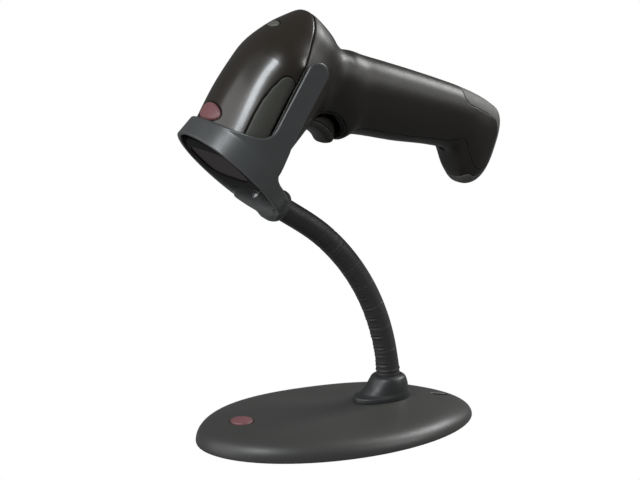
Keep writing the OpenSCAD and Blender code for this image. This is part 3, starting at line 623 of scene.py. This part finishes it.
def mound(px, py):
    """Low swelling of the cover under the boot."""
    return 3.0 * np.exp(-((px - 27) / 17)**2 - (py / 13)**2)


def base_field(px, py, pz):
    share = np.hypot(px / A, py / B)
    high = np.maximum(pz, 0) / (cover_top(px) + mound(px, py))
    return share**8 + high**2.3 - 1


base = base_space.distance(base_field(x, y, z))
BASE_BOTTOM, BASE_WALL = 0.5, 2.2
cover = smax(base, BASE_BOTTOM - z, 0.6)
cover = smax(cover, -smax(base + BASE_WALL, -1 - z, 0.5), 0.4)
# The slot is blind: a cup closes it below
SLOT_X, SLOT_HALF, CUP_HALF = 61.6, (4.6, 1.9), (6.4, 3.7)
slot = np.maximum(np.maximum(np.abs(x - SLOT_X) - SLOT_HALF[0], y - SLOT_HALF[1]), 4.4 - z)
slot_cup = np.maximum(np.maximum(np.abs(x - SLOT_X) - CUP_HALF[0], y - CUP_HALF[1]), 3.4 - z)
cover = np.minimum(cover, smax(base + 0.6, slot_cup, 0.4))
BASE_BADGE_X, BADGE_WELL, BADGE_OVAL, BADGE_DOME = -53.4, (5.9, 6.1), (5.6, 5.8), 1.3
badge_well = oval(x - BASE_BADGE_X, y, *BADGE_WELL) + 0 * z
neck_hole = np.hypot(x - NECK_X, y) - 4.5
cover = smax(cover, -np.minimum(slot, neck_hole), 0.5)
cover = smax(cover, -smax(badge_well, cover_top(x) - 1.1 - z, 0.2), 0.4)
attach(base_space.solid("base_cover_shell", cover), "stand_base", COVER, "cover_plastic",
       "base_cover")

badge_space = Space(STAND, (-61, -46), 8, (8, 16), FINE)
x, y, z = badge_space.x, badge_space.y, badge_space.z
badge_share = np.hypot((x - BASE_BADGE_X) / BADGE_OVAL[0], y / BADGE_OVAL[1])
plate = smax(oval(x - BASE_BADGE_X, y, *BADGE_OVAL) + 0 * z,
             z - cover_top(BASE_BADGE_X) - BADGE_DOME * (1 - badge_share ** 2), 0.8)
plate = smax(plate, cover_top(BASE_BADGE_X) - 1 - z, 0.2)
attach(badge_space.solid("base_badge_lens", plate), "stand_base", BADGE, "badge_resin",
       "base_badge")

# Boot: a dome behind the neck that runs out into a ramp in front of it
boot_space = Space(STAND, (9, 48), 18, (6, 27), FINE)
x, y, z = boot_space.x, boot_space.y, boot_space.z
BOOT_FOOT, BOOT_TOP, COLLAR_R = BASE_HEIGHT + 1.8, 23.2, 6.9
low = 1 - np.clip((z - BOOT_FOOT) / (BOOT_TOP - BOOT_FOOT), 0, 1.05)
dome_r = COLLAR_R + 3.5 * np.sqrt(np.clip(1 - (1 - low)**2.4, 0, 1))
dome = np.hypot(x - NECK_X, y * (1 + 0.08 * low)) - dome_r
ramp = np.hypot(x - NECK_X + 4.4 * low, y * (1 + 0.55 * low)) - (6.3 + 8.6 * low)
boot = smin(boot_space.distance(dome), boot_space.distance(ramp), 2.5)
boot = smax(boot, z - BOOT_TOP, 1.6)
flange = smax(boot_space.distance(np.hypot((x - NECK_X + 4.4) / 15.6, y / 9.9) - 1 + 0 * z),
              z - BASE_HEIGHT - 3.9, 1.2)
boot = smin(boot, flange, 1.6)
boot = smax(boot, -boot_space.distance(base_field(x, y, z) + 0 * x), 0.3)
boot = smax(boot, SLEEVE_R + 0.15 - np.hypot(x - NECK_X, y), 0.5)
attach(boot_space.solid("neck_boot_cover", boot), "stand_base", BOOT, "cover_plastic",
       "neck_boot")


# ---------------------------------------------------------------- neck sleeve
PATH_FOOT = 11.0                        # height where the neck's centre line starts


def neck_path():
    """Centre line of the neck: up from the base, round the bend and into the socket."""
    def arc(angle):
        a = math.radians(angle)
        return (ARC_X + BEND_RADIUS * math.cos(a), ARC_Z + BEND_RADIUS * math.sin(a))

    foot = [(NECK_X, h) for h in np.linspace(PATH_FOOT, ARC_Z, 60, endpoint=False)]
    bend_end = 49.0
    bend = [arc(a) for a in np.linspace(0, bend_end, 900)]
    world_mouth = SCANNER @ Vector((MOUTH[0], 0, MOUTH[1])) / MM
    axis = SCANNER.to_3x3() @ socket_axis / MM
    p = np.array(arc(bend_end))
    q = np.array([world_mouth.x, world_mouth.z])
    a = math.radians(bend_end)
    length = np.linalg.norm(q - p)
    mp = length * np.array([-math.sin(a), math.cos(a)])
    mq = length * np.array([axis.x, axis.z])
    reach = [hermite(u, p, q, mp, mq) for u in np.linspace(0, 1, 400)[1:]]
    end = [q + s * np.array([axis.x, axis.z]) for s in np.linspace(0, 2.4, 30)[1:]]
    points = np.array(foot + bend + [tuple(r) for r in reach] + [tuple(e) for e in end])
    along = np.concatenate([[0], np.cumsum(np.hypot(*np.diff(points, axis=0).T))])
    return points, along


path, path_s = neck_path()
# Folds on the inner side of the bend: distance from the foot, strength
FOLDS = [(18.5, 0.9), (24.0, 0.55), (28.2, 0.8), (34.8, 1.0), (40.0, 0.6), (45.5, 0.75),
         (52.0, 0.5), (58.5, 0.45), (66.0, 0.4), (74.5, 0.35), (84.0, 0.3), (95.0, 0.25)]
FOOT_RING = 15.0                        # a bead all round, just above the boot


def path_at(s):
    return np.array([np.interp(s, path_s, path[:, 0]), np.interp(s, path_s, path[:, 1])])


def sleeve_radius(s, angle):
    inner = smooth(0.30, 0.95, np.cos(angle))
    r = SLEEVE_R + 0.4 * (1 - smooth(8, 24, s)) + 0 * angle
    for place, strength in FOLDS:
        d = s - place
        fold = (0.28 * math.exp(-(d + 0.7)**2 / 0.5) - 0.55 * math.exp(-d**2 / 0.18)
                + 0.22 * math.exp(-(d - 0.8)**2 / 0.7))
        r = r + strength * inner * fold
    d = s - FOOT_RING
    return r + 0.3 * math.exp(-d**2 / 0.2) - 0.22 * math.exp(-(d + 0.9)**2 / 0.15)


def neck_ring(s, angles, radius):
    centre, ahead, behind = path_at(s), path_at(s + 0.3), path_at(s - 0.3)
    tangent = (ahead - behind) / np.linalg.norm(ahead - behind)
    inward = np.array([-tangent[1], tangent[0]])
    r = radius * np.cos(angles)
    return np.stack([centre[0] + inward[0] * r, radius * np.sin(angles),
                     centre[1] + inward[1] * r], -1)


def arc_s(angle):
    """Distance along the neck's centre line to a place on the bend."""
    return ARC_Z - PATH_FOOT + BEND_RADIUS * math.radians(angle)


ROUND = 72
INNER_R = SLEEVE_R - 1.0
angles = np.linspace(0, 2 * math.pi, ROUND, endpoint=False)


def sleeve_piece(name, outer, inner):
    """A closed tube along the neck from pairs of distance and radius, outside and inside."""
    rings = [neck_ring(s, angles, r + 0 * angles) for s, r in outer + inner[::-1]]
    obj = mesh_object(name, *tube(rings, closed_ends=False), STAND)
    obj.data.materials.append(RUBBER)
    return obj


links = (["stand_base"] + [f"neck_link_{k}" for k in range(1, JOINTS)] + ["cradle"])
BALL_JOINT, BALL_R = 7, SLEEVE_R - 0.1
BALL_GAP, BALL_REACH, BALL_PLAY = 0.7, 2.6, 0.04
RING_STEP = 0.3                         # distance between the rings of the sleeve's mesh
for k in range(1, JOINTS + 1):
    joint = arc_s(FIRST_JOINT + JOINT_STEP * (k - 1))
    half_link = BEND_RADIUS * math.radians(JOINT_STEP / 2)
    first = 0.0 if k == 1 else joint - half_link
    last = path_s[-1] if k == JOINTS else joint + half_link
    places = np.linspace(first, last, int((last - first) / RING_STEP) + 1)
    skin = [(s, sleeve_radius(s, angles)) for s in places]
    if k == BALL_JOINT:
        # Two stiff halves: the lower one ends in a ball, the upper one turns on it
        ball = [(s, math.sqrt(BALL_R**2 - (s - joint)**2))
                for s in joint + np.linspace(-BALL_GAP, BALL_REACH, 12)]
        lower = [(s, r) for s, r in skin if s < joint - BALL_GAP]
        upper = [(s, r) for s, r in skin if s > joint + BALL_GAP]
        hollow = [(s, max(INNER_R, math.sqrt(max((BALL_R + BALL_PLAY)**2 - (s - joint)**2, 0))))
                  for s, _ in upper]
        below = sleeve_piece(f"neck_sleeve_section_{k}_lower", lower + ball,
                             [(s, INNER_R) for s, _ in lower + ball])
        above = sleeve_piece(f"neck_sleeve_section_{k}_upper", upper, hollow)
        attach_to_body(below, links[k - 1])
        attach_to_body(above, links[k])
        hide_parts(f"neck_sleeve_{k}")
        continue
    sleeve = sleeve_piece(f"neck_sleeve_section_{k}", skin, [(s, INNER_R) for s in places])
    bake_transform(sleeve)
    for node in ([0, 1] if k == 1 else [k]):
        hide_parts(f"neck_sleeve_{node}")


# ---------------------------------------------------------------- stage, light and camera
def stage_floor():
    """A wide pale floor under the object."""
    reach, count = 12.0, 13
    ticks = np.linspace(-reach, reach, count)
    points = [(u, v, 0.0) for u in ticks for v in ticks]
    quads = [(i * count + j, (i + 1) * count + j, (i + 1) * count + j + 1, i * count + j + 1)
             for i in range(count - 1) for j in range(count - 1)]
    mesh = bpy.data.meshes.new("studio_floor")
    mesh.from_pydata(points, [], quads)
    floor = bpy.data.objects.new("studio_floor", mesh)
    bpy.context.scene.collection.objects.link(floor)
    paper = moulded("floor_paper", (0.20, 0.20, 0.20), 0.9, grain=3, depth=0.02, mottle=0.01)
    nodes, links = paper.node_tree.nodes, paper.node_tree.links
    glow = nodes.new("ShaderNodeEmission")
    glow.inputs["Color"].default_value = (1, 1, 1, 1)
    rays, choose = nodes.new("ShaderNodeLightPath"), nodes.new("ShaderNodeMixShader")
    links.new(rays.outputs["Is Camera Ray"], choose.inputs["Fac"])
    links.new(nodes["Principled BSDF"].outputs["BSDF"], choose.inputs[1])
    links.new(glow.outputs["Emission"], choose.inputs[2])
    links.new(choose.outputs["Shader"], nodes["Material Output"].inputs["Surface"])
    floor.data.materials.append(paper)


def soft_light(name, place, target, size, power, color=(1, 1, 1)):
    data = bpy.data.lights.new(name, "AREA")
    data.shape = "RECTANGLE"
    data.size, data.size_y = size
    data.energy = power
    data.color = color
    light = bpy.data.objects.new(name, data)
    bpy.context.scene.collection.objects.link(light)
    light.location = place
    light.rotation_euler = (Vector(target) - Vector(place)).to_track_quat("-Z", "Y").to_euler()


def view_place(azimuth, elevation, distance, target):
    a, e = math.radians(azimuth), math.radians(elevation)
    back = Vector((math.sin(a) * math.cos(e), -math.cos(a) * math.cos(e), math.sin(e)))
    return Vector(target) + distance * back


stage_floor()
VIEW_AZIMUTH, VIEW_ELEVATION = -29.6, 11.8
LOOK = (-0.001, 0.0, 0.100)
CAMERA_LENS, CAMERA_SHIFT, CAMERA_DISTANCE = 86.1, (-0.0245, -0.0127), 0.75
soft_light("key_above", view_place(-61, 42, 1.1, LOOK), LOOK, (0.26, 0.42), 7, (0.93, 0.97, 1.0))
soft_light("side_window", view_place(-100, 22, 1.0, LOOK), LOOK, (0.9, 0.9), 5)
soft_light("seam_strip", view_place(47, 26, 1.1, LOOK), LOOK, (0.2, 0.4), 2.5)
soft_light("shoulder_strip", view_place(90, 37, 1.1, LOOK), LOOK, (0.45, 0.4), 9)

world = bpy.data.worlds.new("studio_white")
bpy.context.scene.world = world
world.use_nodes = True
nodes, world_links = world.node_tree.nodes, world.node_tree.links
background = nodes["Background"]
seen = nodes.new("ShaderNodeBackground")
seen.inputs["Color"].default_value = (1, 1, 1, 1)
seen.inputs["Strength"].default_value = 1.0
background.inputs["Color"].default_value = (0.95, 0.97, 1.0, 1)
background.inputs["Strength"].default_value = 0.11
rays = nodes.new("ShaderNodeLightPath")
choose = nodes.new("ShaderNodeMixShader")
world_links.new(rays.outputs["Is Camera Ray"], choose.inputs["Fac"])
world_links.new(background.outputs["Background"], choose.inputs[1])
world_links.new(seen.outputs["Background"], choose.inputs[2])
world_links.new(choose.outputs["Shader"], nodes["World Output"].inputs["Surface"])

camera_data = bpy.data.cameras.new("photo_camera")
camera_data.sensor_width = 36
camera_data.lens = CAMERA_LENS
camera_data.shift_x, camera_data.shift_y = CAMERA_SHIFT
camera = bpy.data.objects.new("photo_camera", camera_data)
bpy.context.scene.collection.objects.link(camera)
camera.location = view_place(VIEW_AZIMUTH, VIEW_ELEVATION, CAMERA_DISTANCE, LOOK)
camera.rotation_euler = (math.radians(90 - VIEW_ELEVATION), 0, math.radians(VIEW_AZIMUTH))
bpy.context.scene.camera = camera
bpy.context.scene.view_settings.view_transform = "Standard"
